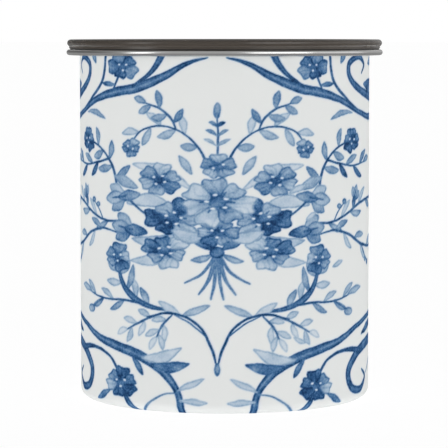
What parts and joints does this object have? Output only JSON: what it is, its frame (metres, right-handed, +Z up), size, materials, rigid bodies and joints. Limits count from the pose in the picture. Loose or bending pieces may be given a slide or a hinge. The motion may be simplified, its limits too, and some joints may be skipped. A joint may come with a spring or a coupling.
{
  "type": "spice tin",
  "caption": "Round double-walled canister with a rounded foot, blue-and-white floral printed wall, polished rim and a dark lift-off plug lid with a lipped seal.",
  "frame": {"origin": "centre of the base, on the plane that the tin stands on", "axes": "+Z up along the axis of the tin; the middle of the printed front faces -Y, and +X is to its right"},
  "size_m": [0.107, 0.107, 0.121],
  "materials": {
    "printed_enamel": "gloss",
    "steel": "satin",
    "polished_rim": "polished",
    "dark_gloss": "gloss",
    "dark_matte": "matte",
    "seal": "matte"
  },
  "bodies": {
    "can": {"printed_shell": "printed_enamel", "base_pan": "steel", "steel_liner": "steel", "rim_collar": "polished_rim"},
    "lid": {"lid_cover": "dark_gloss", "lid_plug": "dark_matte", "plug_disc": "dark_matte", "seal_ring": "seal"}
  },
  "joints": [
    {"name": "lid_lift", "type": "slide", "parent": "can", "child": "lid", "axis": [0, 0, 1], "range_m": [0, 0.06]}
  ]
}
